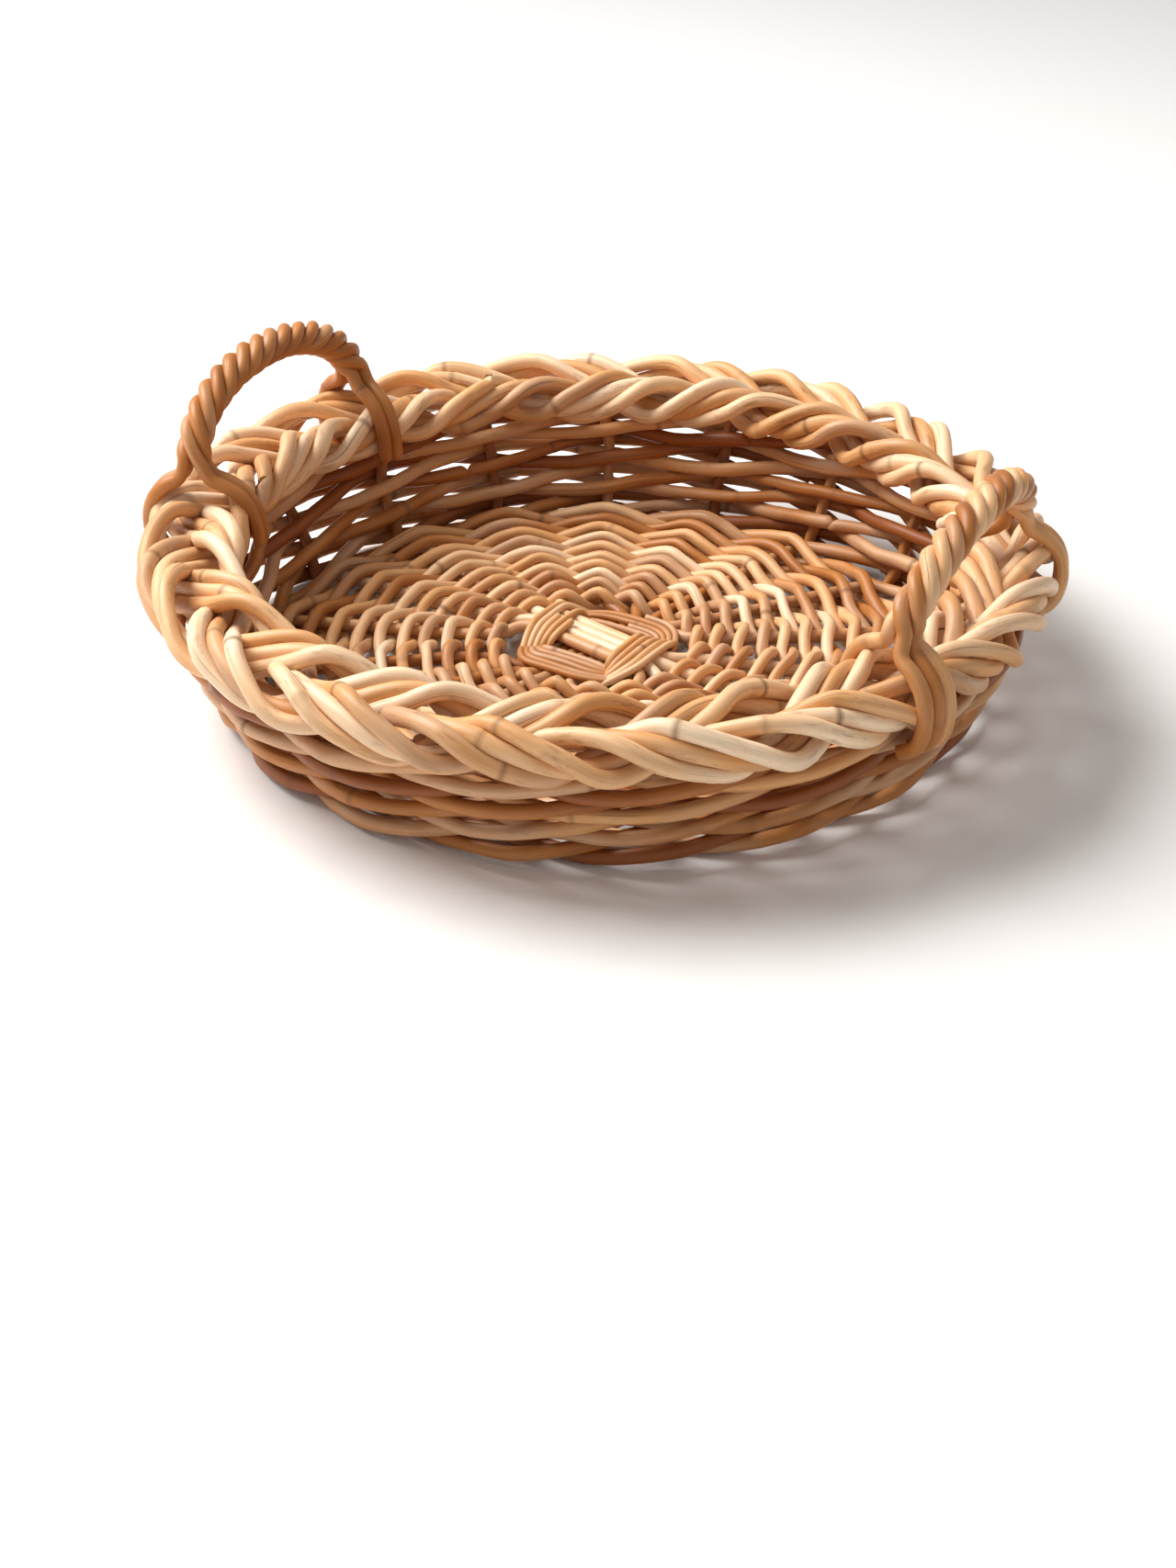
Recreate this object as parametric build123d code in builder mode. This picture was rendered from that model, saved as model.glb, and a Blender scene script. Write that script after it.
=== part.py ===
"""A round woven wicker basket: a stick-cross base, waled sides, a plaited border and two rope handles.

Units are millimetres and +Z is up. The basket stands on z = 0 with its centre on the Z axis, and the
two handles stand over about +X and -X. Every rod is a separate length of cane that passes over, under and
between its neighbours without cutting into them.
"""

import os
from math import asin, copysign, cos, degrees, hypot, pi, radians, sin, sqrt, tan

from build123d import *

os.makedirs("parts", exist_ok=True)

# ---- driving dimensions -------------------------------------------------------------------------

gap = 0.25  # air between rods that lie against each other

# Base: two groups of parallel sticks cross at the centre and fan out into evenly spaced arms.
upper_sticks = 4
lower_sticks = 5
base_stick = 5.2  # diameter
group_axis = 170.0  # degrees, the line of the upper group; the lower group runs square to it
tie_rod = 2.8  # diameter of the thin canes that bind the cross
ties = 2
tie_pitch_share = 3.0  # from one tie to the next, in thicknesses of their canes with their air
tie_corner = 1.55  # a tie turns down this many of its own reaches outside the outermost stick
fan_clearance = 1.3  # from the last tie to where the groups start to spread
first_row_pitch = 8.4  # rows near the centre are thin and close
pitch_growth = 0.42  # and each next row is this much wider
base_rows = 10
arm_setback = 1.0  # the arms end this far inside the outer edge of the last row
foot_wear = 0.3  # the outermost base row is worn flat by this much where it stands on the floor
base_rise = 3.0  # the middle of the base is pushed up by this much

# Sides: one stake for each arm, and rows of three canes twisted round them.
stake_rod = 5.0
side_rod = 5.8
side_rows = 4
side_lean = 24.0  # degrees outward from upright
bend_allowance = 1.14  # extra swing, because the canes cross the stakes on a slant

# Border: three strands of three canes, plaited flat along the top of the side.
border_rod = 5.2
border_setback = 1.9  # the middle of the plait stands this far inside the line of the stakes
border_swing_share = 2.57  # swing of a strand across the rim, in cane spacings
border_rise_share = 1.33  # swing of a strand up and down, in cane spacings before the slant
strand_slack = 1.08  # extra distance between the canes of a strand where it bends
strands = 3
rods_per_strand = 3
border_settle = 2.4  # the plait sits down this far between the canes of the top row
stake_tip_gap = 1.5  # air between a stake's tip and the strands that roll over it

# Handles: four canes laid up as a rope over the rim, their ends split to both sides of the border.
handle_rod = 4.8
rope_slack = 1.3  # the canes of the rope cross each other on a slant, so they stand further apart
rope_rods = 4
handle_half_span = 63.0  # from the middle of the handle to the rope's centre at each foot
handle_rise = 33.0  # from the foot of the rope to the top of the arch
handle_lean_out = 2.2  # the rope's feet stand this far outside the middle of the plait
arch_lean = 7.0  # and the top of the arch leans out this far beyond its feet
handle_azimuth = 3.5  # degrees, from a stake to the middle of a handle
rope_settle = 1.0  # the rope's feet sit down this far between the strands of the plait
tail_clearance = 0.65  # between the sides of the border and the free ends of the canes
rope_start = 75.0  # degrees, where the first cane lies in the rope at its foot
rope_quarter_turns = 14  # twist from foot to foot, in quarter turns
rope_steps = 32  # runs in which a cane of the rope is laid along the arch
inner_tail_lean = 0.25  # the inner ends lean by this share of the side's lean

# The free ends of the handle canes, from the foot of the rope to the tip. Each point is a share of the
# way out to the border's side and a share of the way down to the border's middle.
outer_tail = ((0.31, 0.15), (0.64, 0.26), (0.93, 0.60), (1.03, 1.14), (0.95, 1.71), (0.57, 2.19))
inner_tail = ((0.26, 0.13), (0.51, 0.21), (0.83, 0.44), (1.00, 0.95), (1.00, 1.62), (1.00, 2.29))

# ---- sizes that follow --------------------------------------------------------------------------

arms = 2 * (upper_sticks + lower_sticks)
arm_step = 360.0 / arms
waves = arms // 3  # a cane in the sides, or a strand in the border, repeats every third stake

widest_half = (max(upper_sticks, lower_sticks) - 1) / 2  # from the axis to the outermost stick, in sticks
tie_reach = (base_stick + tie_rod) / 2 + 2 * gap
tie_swing = (tie_rod / 2 + gap) / cos(pi / 4)
first_tie = widest_half * (base_stick + gap) + tie_corner * tie_reach + tie_swing + gap
tie_distances = [first_tie + tie_pitch_share * (tie_rod + gap) * k for k in range(ties)]
fan_start = tie_distances[-1] + tie_swing + tie_rod / 2 + fan_clearance
fan_end = fan_start / cos(radians(widest_half * arm_step))

row_rods = [(first_row_pitch + pitch_growth * k - 3 * gap) / 2 for k in range(base_rows)]
first_row_radius = fan_end + (base_stick + row_rods[0]) / 2
row_radii = [
    first_row_radius + first_row_pitch * k + pitch_growth * k * (k - 1) / 2 for k in range(base_rows)
]
base_edge = row_radii[-1] + row_rods[-1] + gap / 2
base_radius = base_edge - arm_setback
edge_height = base_stick / 2 + gap + row_rods[-1] - foot_wear
lean = radians(side_lean)
side_swing = (side_rod + stake_rod + 2 * gap) / 1.5 / cos(lean) * bend_allowance
side_shift = side_swing - ((side_rod + stake_rod) / 2 + gap) / cos(lean) * bend_allowance
side_lift = (side_rod + gap) / (2 * sin(pi / 3))
side_pitch = side_rod + 2 * gap + 2 * side_lift * sin(pi / 3)
foot_height = 1.1 * side_lift + side_rod / 2 + gap
wale_reach = 1.08 * side_swing + side_rod / 2  # from the middle of a row of the sides to its face
foot_radius = base_edge + gap + wale_reach - side_shift
wale_top = foot_height + (side_rows - 1) * side_pitch + side_lift + side_rod / 2

# A strand runs this far along the rim while it turns once round its figure of eight, per radian.
strand_run = (foot_radius + (wale_top - foot_height) * tan(lean) - border_setback) / waves
border_half_width = border_swing_share * (border_rod + gap)
crossing_slant = hypot(strand_run, border_half_width) / strand_run
border_half_height = border_rise_share * (border_rod + gap) * crossing_slant
strand_slant = hypot(strand_run, border_half_width, 2 * border_half_height) / strand_run
strand_spacing = (border_rod + gap) * strand_slant * strand_slack


def plait_section(phase, place):
    """How far a cane of the plait lies across and above the middle of the rim."""
    across = border_half_width * cos(phase)
    up = 2 * border_half_height * cos(2 * phase)
    step = place * strand_spacing / hypot(across, up)
    return border_half_width * sin(phase) + step * across, border_half_height * sin(2 * phase) + step * up


plait_points = [plait_section(radians(degree), place) for degree in range(360) for place in (-1, 0, 1)]
plait_half_width = max(across for across, up in plait_points) + border_rod / 2
plait_half_height = max(up for across, up in plait_points) + border_rod / 2
border_height = wale_top + plait_half_height - border_settle
border_radius = foot_radius + (border_height - foot_height) * tan(lean) - border_setback

rope_swing = (handle_rod + gap) / 2 / sin(pi / rope_rods) * rope_slack
handle_foot_radius = border_radius + handle_lean_out
handle_distance = sqrt(handle_foot_radius**2 - handle_half_span**2)
handle_foot_height = border_height + plait_half_height + rope_swing + handle_rod / 2 - rope_settle


def base_height(radius):
    """Height of the middle of the base, which rises evenly towards the centre."""
    return edge_height + base_rise * (1 - radius / row_radii[-1])


def stake_radius(height):
    """Distance of the leaning stakes from the basket's centre."""
    return foot_radius + (height - foot_height) * tan(lean)


def polar(radius, azimuth, height):
    return Vector(radius * cos(radians(azimuth)), radius * sin(radians(azimuth)), height)


# ---- rods ---------------------------------------------------------------------------------------


def bend_radii(points):
    """The largest tangent arc that the two runs at each corner have room for."""
    radii = []
    for before, corner, after in zip(points, points[1:], points[2:]):
        run_in = corner - before
        run_out = after - corner
        turn = radians(run_in.get_angle(run_out))
        radii.append(0.45 * min(run_in.length, run_out.length) / tan(turn / 2))
    return radii


def add_rod(points, diameter):
    """Sweep one round cane along straight runs joined by arcs, into the part being built."""
    with BuildLine() as route:
        FilletPolyline(*points, radius=bend_radii(points))
    with BuildSketch(Plane(origin=route.line @ 0, z_dir=route.line % 0)) as section:
        Circle(diameter / 2)
    sweep(section.sketch, path=route.line)


def open_ring(points, first, end_gap=1.5):
    """Turn a ring of corners into one cane whose ends meet, with a small gap, before corner `first`."""
    corners = points[first:] + points[:first]
    middle = (corners[-1] + corners[0]) / 2
    toward_start = (corners[0] - middle).normalized()
    return [middle + toward_start * end_gap / 2] + corners + [middle - toward_start * end_gap / 2]


def save(part, name):
    part.label = name
    export_step(part, f"parts/{name}.step")


# ---- base ---------------------------------------------------------------------------------------


def stick_route(axis, index, count, level):
    """One base stick: parallel to its group across the middle, radial beyond the fan."""
    place = index - (count - 1) / 2
    side = place * (base_stick + gap)
    along = polar(1, axis, 0)
    across = polar(1, axis + 90, 0)
    half = [
        polar(base_radius, axis + place * arm_step, base_height(base_radius)),
        polar(fan_end, axis + place * arm_step, base_height(fan_end)),
        along * fan_start + across * side + Vector(0, 0, base_height(0) + level),
    ]
    far = [Vector(2 * side * across.X - p.X, 2 * side * across.Y - p.Y, p.Z) for p in half[2:]]
    outer = [
        polar(fan_end, axis + 180 - place * arm_step, base_height(fan_end)),
        polar(base_radius, axis + 180 - place * arm_step, base_height(base_radius)),
    ]
    return half + far + outer


stick_level = (base_stick + gap) / 2
for index in range(upper_sticks):
    with BuildPart() as upper_stick:
        add_rod(stick_route(group_axis, index, upper_sticks, stick_level), base_stick)
    save(upper_stick.part, f"base_stick_upper_{index + 1}")

for index in range(lower_sticks):
    with BuildPart() as lower_stick:
        add_rod(stick_route(group_axis - 90, index, lower_sticks, -stick_level), base_stick)
    save(lower_stick.part, f"base_stick_lower_{index + 1}")


def tie_route(distance, side):
    """One of the two canes of a tie: over one group, down at the corner, and under the other group."""
    corners = []
    for quarter in range(4):
        over_upper = quarter % 2 == 0
        count = upper_sticks if over_upper else lower_sticks
        level = stick_level if over_upper else -stick_level
        half = (count - 1) / 2 * (base_stick + gap) + tie_corner * tie_reach
        turn = 1 if over_upper else -1
        height = base_height(0) + level + side * turn * tie_reach
        along = polar(1, group_axis + 90 * quarter, 0)
        across = polar(1, group_axis + 90 * quarter + 90, 0)
        for end in (-1, 1):
            offset = distance - end * turn * side * tie_swing
            corners.append(along * offset + across * end * half + Vector(0, 0, height))
    return corners


for number, distance in enumerate(tie_distances, 1):
    with BuildPart() as tie_row:
        for side in (1, -1):
            add_rod(open_ring(tie_route(distance, side), 1), tie_rod)
    save(tie_row.part, f"base_tie_{number}")


def twined_route(row, side):
    """One cane of a pair: over an arm, down between two arms, under the next, and up again."""
    diameter = row_rods[row]
    reach = (base_stick + diameter) / 2 + gap
    swing = diameter / 2 + gap / 2
    corners = []
    for arm in range(arms):
        turn = side if arm % 2 == 0 else -side
        for end in (-1, 1):
            radius = row_radii[row] + turn * end * swing
            height = base_height(row_radii[row]) + turn * reach
            corners.append(polar(radius, (arm + end / 4) * arm_step, height))
    return corners


for row in range(base_rows):
    with BuildPart() as base_row:
        for side in (1, -1):
            start_arm = (5 * row) % (arms // 2) * 2 + (0 if side < 0 else 1)
            add_rod(open_ring(twined_route(row, side), 2 * start_arm + 1), row_rods[row])
        if row == base_rows - 1:
            split(bisect_by=Plane.XY, keep=Keep.TOP)
    save(base_row.part, f"base_row_{row + 1:02d}")

# ---- sides --------------------------------------------------------------------------------------

stake_foot = foot_height - side_lift
stake_top = border_height - border_half_height - stake_tip_gap
with BuildPart() as side_stakes:
    for arm in range(arms):
        foot = polar(stake_radius(stake_foot), arm * arm_step, stake_foot)
        top = polar(stake_radius(stake_top), arm * arm_step, stake_top)
        with BuildSketch(Plane(origin=foot, z_dir=top - foot)):
            Circle(stake_rod / 2)
        extrude(amount=(top - foot).length)
save(side_stakes.part, "side_stakes")


def wale_route(row, rod):
    """One of three canes twisted round the stakes: outside two of them, then inside the third."""
    corners_per_wave = 6
    full = 1 / cos(pi / corners_per_wave)
    count = waves * corners_per_wave
    corners = []
    for corner in range(count):
        azimuth = 360.0 * (corner + 0.5) / count
        phase = radians(waves * azimuth) + 2 * pi * rod / 3 + pi / 3
        height = foot_height + row * side_pitch + side_lift * full * sin(phase)
        radius = stake_radius(height) + side_shift + side_swing * full * cos(phase)
        corners.append(polar(radius, azimuth, height))
    return corners


for row in range(side_rows):
    for rod in range(3):
        with BuildPart() as wale_rod:
            start = (12 * rod + 7 * row) % (6 * waves)
            add_rod(open_ring(wale_route(row, rod), start), side_rod)
        level = "upsett" if row == 0 else f"wale_row_{row}"
        save(wale_rod.part, f"{level}_rod_{rod + 1}")

# ---- border -------------------------------------------------------------------------------------


def plait_route(strand, place):
    """One cane of a strand, which follows a figure of eight round the rim and rolls over its edges."""
    corners_per_wave = 12
    count = waves * corners_per_wave
    corners = []
    for corner in range(count):
        azimuth = 360.0 * (corner + 0.5) / count
        phase = radians(waves * azimuth) + 2 * pi * strand / strands - pi / 2
        across, up = plait_section(phase, place)
        corners.append(polar(border_radius + across, azimuth, border_height + up))
    return corners


for strand in range(strands):
    for rod in range(rods_per_strand):
        with BuildPart() as plait_rod:
            start = (24 * strand + 8 * rod) % (12 * waves)
            place = rod - (rods_per_strand - 1) / 2
            add_rod(open_ring(plait_route(strand, place), start), border_rod)
        save(plait_rod.part, f"border_strand_{strand + 1}_rod_{rod + 1}")

# ---- handles ------------------------------------------------------------------------------------

foot_azimuth = degrees(asin(handle_half_span / handle_foot_radius))
tail_side = plait_half_width + handle_rod / 2 + tail_clearance  # from the middle of the border


def tail_route(side, outward, beside):
    """The free end of a handle cane, from the foot of the rope to its tip beside the border."""
    out = polar(1, side * foot_azimuth, 0)
    along = polar(1, side * foot_azimuth + 90, 0)
    way_out = border_radius + (tail_side if outward else -tail_side) - handle_foot_radius
    way_down = handle_foot_height - border_height
    points = []
    for share_out, share_down in outer_tail if outward else inner_tail:
        below = 0 if outward else max(0, share_down - 1) * way_down  # how far below the border's middle
        radius = handle_foot_radius + share_out * way_out - below * tan(lean) * inner_tail_lean
        height = handle_foot_height - share_down * way_down
        points.append(out * radius + along * beside + Vector(0, 0, height))
    return points


def arch_centre(turn):
    """A point on the arch that the rope follows, at this angle from its first foot."""
    height = handle_foot_height + handle_rise * sin(turn)
    return Vector(handle_distance + arch_lean * sin(turn), -handle_half_span * cos(turn), height)


arch_turns = [pi * n / 720 for n in range(721)]
arch_lengths = [0.0]
for before, after in zip(arch_turns, arch_turns[1:]):
    arch_lengths.append(arch_lengths[-1] + (arch_centre(after) - arch_centre(before)).length)


def rope_route(rod):
    """One cane of a rope handle, from the tip of one tail, over the arch, to the tip of the other."""
    rope = []
    lays = []
    for step in range(1, rope_steps):
        share = step / rope_steps  # of the arch's length
        turn = next(t for t, length in zip(arch_turns, arch_lengths) if length >= share * arch_lengths[-1])
        normal = Vector(0, -handle_rise * cos(turn), handle_half_span * sin(turn)).normalized()
        lay = radians(rope_start) + pi / 2 * rod - pi / 2 * rope_quarter_turns * share
        aside = Vector(rope_swing * sin(lay), 0, 0)
        rope.append(arch_centre(turn) + normal * rope_swing * cos(lay) + aside)
        lays.append(lay)
    tails = []
    for side, lay in ((-1, lays[0]), (1, lays[-1])):
        beside = copysign((handle_rod + gap) / 2, cos(lay)) * side
        tails.append(tail_route(side, sin(lay) > 0, beside))
    return tails[0][::-1] + rope + tails[1]


for name, azimuth in (("right", handle_azimuth), ("left", handle_azimuth + 180)):
    outward = polar(1, azimuth, 0)
    sideways = polar(1, azimuth + 90, 0)
    for rod in range(rope_rods):
        route = [outward * p.X + sideways * p.Y + Vector(0, 0, p.Z) for p in rope_route(rod)]
        with BuildPart() as handle_cane:
            add_rod(route, handle_rod)
        save(handle_cane.part, f"{name}_handle_rod_{rod + 1}")
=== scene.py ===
# %% [markdown]
# # A round tray basket, woven cane by cane
# The real basket is nothing but peeled cane: sticks crossed and bound in the middle, weavers taken over
# and under their fanned arms, a leaning side of twisted rows, a plait along the rim and two rope handles.
# This lesson builds the cane that is seen: not quite round, tapered, knuckled, cut at its ends, and
# coloured. Everything is in metres and stands in the same place as the measured model.

# %% Load the measured model
from math import cos, pi, radians, sin, tan

import bpy
import numpy as np
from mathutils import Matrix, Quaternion, Vector


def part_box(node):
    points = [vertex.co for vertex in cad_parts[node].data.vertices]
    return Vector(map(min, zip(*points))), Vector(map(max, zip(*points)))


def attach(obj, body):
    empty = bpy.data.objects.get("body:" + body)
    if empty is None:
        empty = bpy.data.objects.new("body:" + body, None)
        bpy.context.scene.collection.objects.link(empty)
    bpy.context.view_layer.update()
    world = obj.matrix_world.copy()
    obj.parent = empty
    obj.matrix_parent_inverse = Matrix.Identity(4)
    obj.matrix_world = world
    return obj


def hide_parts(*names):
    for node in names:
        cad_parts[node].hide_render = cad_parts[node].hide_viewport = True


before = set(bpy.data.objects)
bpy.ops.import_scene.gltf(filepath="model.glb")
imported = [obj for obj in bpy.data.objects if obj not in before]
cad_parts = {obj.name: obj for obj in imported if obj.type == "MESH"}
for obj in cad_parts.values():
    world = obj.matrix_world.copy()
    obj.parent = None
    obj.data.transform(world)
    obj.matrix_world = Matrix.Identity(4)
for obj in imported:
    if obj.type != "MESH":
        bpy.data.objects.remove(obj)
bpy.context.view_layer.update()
MM = 0.001

# %% [markdown]
# ## What the measured model says
# Each ring of the basket is known from the box of its node: how far out it reaches, and how high its
# middle stands. Reading them here means that a change in the measured model moves the looks with it.

# %% Read the rings off the model
def ring_of(*nodes):
    """How far the nodes reach from the middle of the basket, and their lowest and highest points."""
    boxes = [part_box(node) for node in nodes]
    reach = max((high.x - low.x + high.y - low.y) / 4 for low, high in boxes)
    return reach, min(low.z for low, high in boxes), max(high.z for low, high in boxes)


STRANDS = 3
RODS = 3
BASE_ROWS = sum(name.startswith("base_row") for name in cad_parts)
WALE_ROWS = 4
HANDLE_RODS = 4
UPPER_STICKS = 4
LOWER_STICKS = 5
ARMS = 2 * (UPPER_STICKS + LOWER_STICKS)
ARM_STEP = 360 / ARMS
WAVES = ARMS // 3
GROUP_AXIS = 170

wale_names = [[f"{level}_rod_{rod}" for rod in (1, 2, 3)]
              for level in ("upsett", "wale_row_1", "wale_row_2", "wale_row_3")]
border_names = [f"border_strand_{strand}_rod_{rod}" for strand in (1, 2, 3) for rod in (1, 2, 3)]
base_rings = [ring_of(f"base_row_{row:02d}") for row in range(1, BASE_ROWS + 1)]
border_reach, border_low, border_high = ring_of(*border_names)
print("rim reaches", round(border_reach, 4), "between", round(border_low, 4), "and", round(border_high, 4))

# %% [markdown]
# ## One cane
# A cane could be a curve with a round bevel, which is quick, but then every cane is the same perfect tube.
# Sweeping rings of points along the line by hand costs a page of code and lets each ring be its own:
# thinner towards the tip, a little oval, swollen at the knuckles where leaves once grew, and cut square
# or slanting at the ends. The rings turn as little as possible from one to the next, so that the fibres
# painted along them don't spiral.

# %% Smooth chance, and lines divided evenly
def drift(chance, along, wavelength):
    """A smooth chance value along a cane, mostly within -1 and 1."""
    value = np.zeros(len(along))
    for octave in range(3):
        turns = along * 1.83**octave / wavelength + chance.uniform()
        value += 0.6**octave * np.sin(2 * pi * turns)
    return value / 1.5


def divided(points, step):
    """The same line, with points evenly spaced about a step apart, and how far along each one is."""
    lengths = np.concatenate([[0], np.cumsum(np.linalg.norm(np.diff(points, axis=0), axis=1))])
    along = np.linspace(0, lengths[-1], max(4, int(lengths[-1] / step)) + 1)
    return np.stack([np.interp(along, lengths, points[:, axis]) for axis in range(3)], 1), along


def unit(vectors):
    return vectors / np.maximum(np.linalg.norm(vectors, axis=-1, keepdims=True), 1e-12)


def steady_frames(points):
    """For each point the line's direction and two directions across it that turn as little as can be."""
    forward = unit(np.gradient(points, axis=0))
    first = np.cross(forward[0], (0, 0, 1))
    if np.linalg.norm(first) < 0.1:
        first = np.cross(forward[0], (1, 0, 0))
    across = [first / np.linalg.norm(first)]
    for direction in forward[1:]:
        turned = across[-1] - direction * (across[-1] @ direction)
        across.append(turned / np.linalg.norm(turned))
    across = np.array(across)
    return forward, across, np.cross(forward, across)


print("line helpers ready")

# %% Sweep one cane
RING_STEP = 2.1 * MM
LIGHTEST_TONE = 0.06
TONE_RANGE = 0.70  # real canes of one batch never reach the darkest brown


def cane(points, thickness, seed, sides=12, taper=0.10, tone=None, cuts=(0.0, 0.0), knuckles=150 * MM):
    """Points, faces and paint guides of one cane; cuts are the slants of its two ends, in thicknesses."""
    chance = np.random.default_rng(seed)
    points, along = divided(np.asarray(points, float), RING_STEP)
    forward, across, upward = steady_frames(points)
    length = along[-1]

    # the thickness along the cane: a taper, a slow swell and the knuckles
    radius = thickness / 2 * (1 + taper * (0.5 - along / length) + 0.035 * drift(chance, along, 60 * MM))
    knuckle = np.zeros(len(along))
    place = chance.uniform(0.15, 0.85) * knuckles
    while place < length:
        ring = np.exp(-((along - place) / (1.3 * MM)) ** 2)
        radius *= 1 + 0.06 * ring + 0.035 * np.exp(-((along - place) / (7 * MM)) ** 2)
        knuckle = np.maximum(knuckle, np.exp(-((along - place - 1.5 * MM) / (0.9 * MM)) ** 2))
        place += knuckles * chance.uniform(0.7, 1.5)

    # the section: slightly oval and slightly lumpy, changing slowly along the cane
    turn = np.linspace(0, 2 * pi, sides, endpoint=False)[None, :]
    lean = chance.uniform(0, pi) + 0.8 * drift(chance, along, 150 * MM)[:, None]
    section = 1 + 0.04 * np.cos(2 * (turn - lean)) + 0.015 * np.cos(3 * turn + 5 * lean)
    section = section * (1 + 0.008 * chance.standard_normal((len(along), sides)))
    reach = radius[:, None] * section
    rings = (points[:, None] + across[:, None] * (reach * np.cos(turn))[..., None]
             + upward[:, None] * (reach * np.sin(turn))[..., None])

    # the ends: slanted, with a narrow worn edge before the flat of the cut
    for end, cut, sign in ((0, cuts[0], -1), (-1, cuts[1], 1)):
        slant = cut * (reach[end] * np.cos(turn[0]))[:, None] * forward[end]
        rings[end] += slant
        inner = points[end] + (rings[end] - points[end]) * 0.84 + forward[end] * sign * 0.07 * thickness
        rings = np.concatenate([inner[None], rings] if end == 0 else [rings, inner[None]])
    along_rings = np.concatenate([[along[0]], along, [along[-1]]])
    knuckle = np.concatenate([[0], knuckle, [0]])
    centres = np.stack([rings[0].mean(0), rings[-1].mean(0)])

    count = len(rings)
    ring_index = np.arange(count * sides).reshape(count, sides)
    here, beside = ring_index, np.roll(ring_index, -1, axis=1)
    quads = np.stack([here[:-1], beside[:-1], beside[1:], here[1:]], -1).reshape(-1, 4)
    first, last = count * sides, count * sides + 1
    start_fan = np.stack([np.full(sides, first), beside[0], here[0]], -1)
    end_fan = np.stack([np.full(sides, last), here[-1], beside[-1]], -1)

    tone = LIGHTEST_TONE + TONE_RANGE * chance.uniform() if tone is None else tone
    offset = chance.uniform(0, 40)
    round_place = np.stack([thickness / 2 * np.cos(turn), thickness / 2 * np.sin(turn)], -1)
    place = np.concatenate([np.broadcast_to(round_place, (count, sides, 2)),
                            np.broadcast_to(along_rings[:, None, None] + offset, (count, sides, 1))], -1)
    place = np.concatenate([place.reshape(-1, 3), [[0, 0, offset - 1], [0, 0, offset + length + 1]]])
    slow_tone = tone + 0.10 * drift(chance, along_rings, 260 * MM)
    return {
        "points": np.concatenate([rings.reshape(-1, 3), centres]),
        "quads": quads,
        "fans": np.concatenate([start_fan, end_fan]),
        "place": place,
        "tone": np.concatenate([np.repeat(slow_tone, sides), [tone, tone]]),
        "knuckle": np.concatenate([np.repeat(knuckle, sides), [0, 0]]),
    }


print("one cane has rings every", RING_STEP, "m")

# %% [markdown]
# ## Canes into pieces
# Canes that are one piece of the measured model become one mesh, so that it can stand for that piece.
# The cut ends get a material of their own, because inside the cane is pale, dry pith. The paint guides
# travel with the points: where a point is on its straightened cane, how dark that cane is, and whether
# it is on a knuckle.

# %% Join canes and hang them on the model
made_pieces = []


def piece(name, node, slot, canes):
    """One mesh of several canes, which stands for a node of the measured model."""
    mesh = bpy.data.meshes.new(name)
    starts = np.cumsum([0] + [len(c["points"]) for c in canes])
    points = np.concatenate([c["points"] for c in canes])
    quads = np.concatenate([c["quads"] + start for c, start in zip(canes, starts)])
    fans = np.concatenate([c["fans"] + start for c, start in zip(canes, starts)])
    mesh.vertices.add(len(points))
    mesh.vertices.foreach_set("co", points.ravel())
    mesh.loops.add(quads.size + fans.size)
    mesh.loops.foreach_set("vertex_index", np.concatenate([quads.ravel(), fans.ravel()]))
    mesh.polygons.add(len(quads) + len(fans))
    corners = np.concatenate([np.arange(len(quads)) * 4, quads.size + np.arange(len(fans)) * 3])
    mesh.polygons.foreach_set("loop_start", corners)
    mesh.polygons.foreach_set("use_smooth", np.arange(len(corners)) < len(quads))
    mesh.polygons.foreach_set("material_index", (np.arange(len(corners)) >= len(quads)).astype(int))
    mesh.update(calc_edges=True)
    mesh.validate()
    for label, kind, value in (("cane_place", "FLOAT_VECTOR", "vector"), ("cane_tone", "FLOAT", "value"),
                               ("cane_knuckle", "FLOAT", "value")):
        guide = mesh.attributes.new(label, kind, "POINT")
        values = np.concatenate([c[label.removeprefix("cane_")] for c in canes])
        guide.data.foreach_set(value, values.astype(np.float32).ravel())
    made = bpy.data.objects.new(name, mesh)
    bpy.context.scene.collection.objects.link(made)
    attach(made, "root")
    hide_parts(node)
    made_pieces.append((made, slot))
    return made


def on_circle(radius, degrees, height):
    """Points at these distances, directions and heights round the middle of the basket."""
    turns = np.radians(degrees)
    return np.stack([radius * np.cos(turns), radius * np.sin(turns), height + 0 * turns], -1)


# %% [markdown]
# ## The cross of sticks
# Four sticks lie over five, and the bundle of four shows as a pale square patch, polished by use.
# Beyond the binding, the sticks are bent apart until their eighteen arms are evenly spread. A stick is
# drawn as a few corners and then rounded by cutting those corners again and again, which keeps the
# straight runs straight. That is the oldest way to make a smooth line from a rough one.

# %% Base sticks
def rounded(corners, rounds=4):
    """Cut every corner of a line, several times over, so that it bends smoothly."""
    points = np.asarray(corners, float)
    for _ in range(rounds):
        near = points[:-1] * 0.75 + points[1:] * 0.25
        far = points[:-1] * 0.25 + points[1:] * 0.75
        points = np.concatenate([points[:1], np.stack([near, far], 1).reshape(-1, 3), points[-1:]])
    return points


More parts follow.
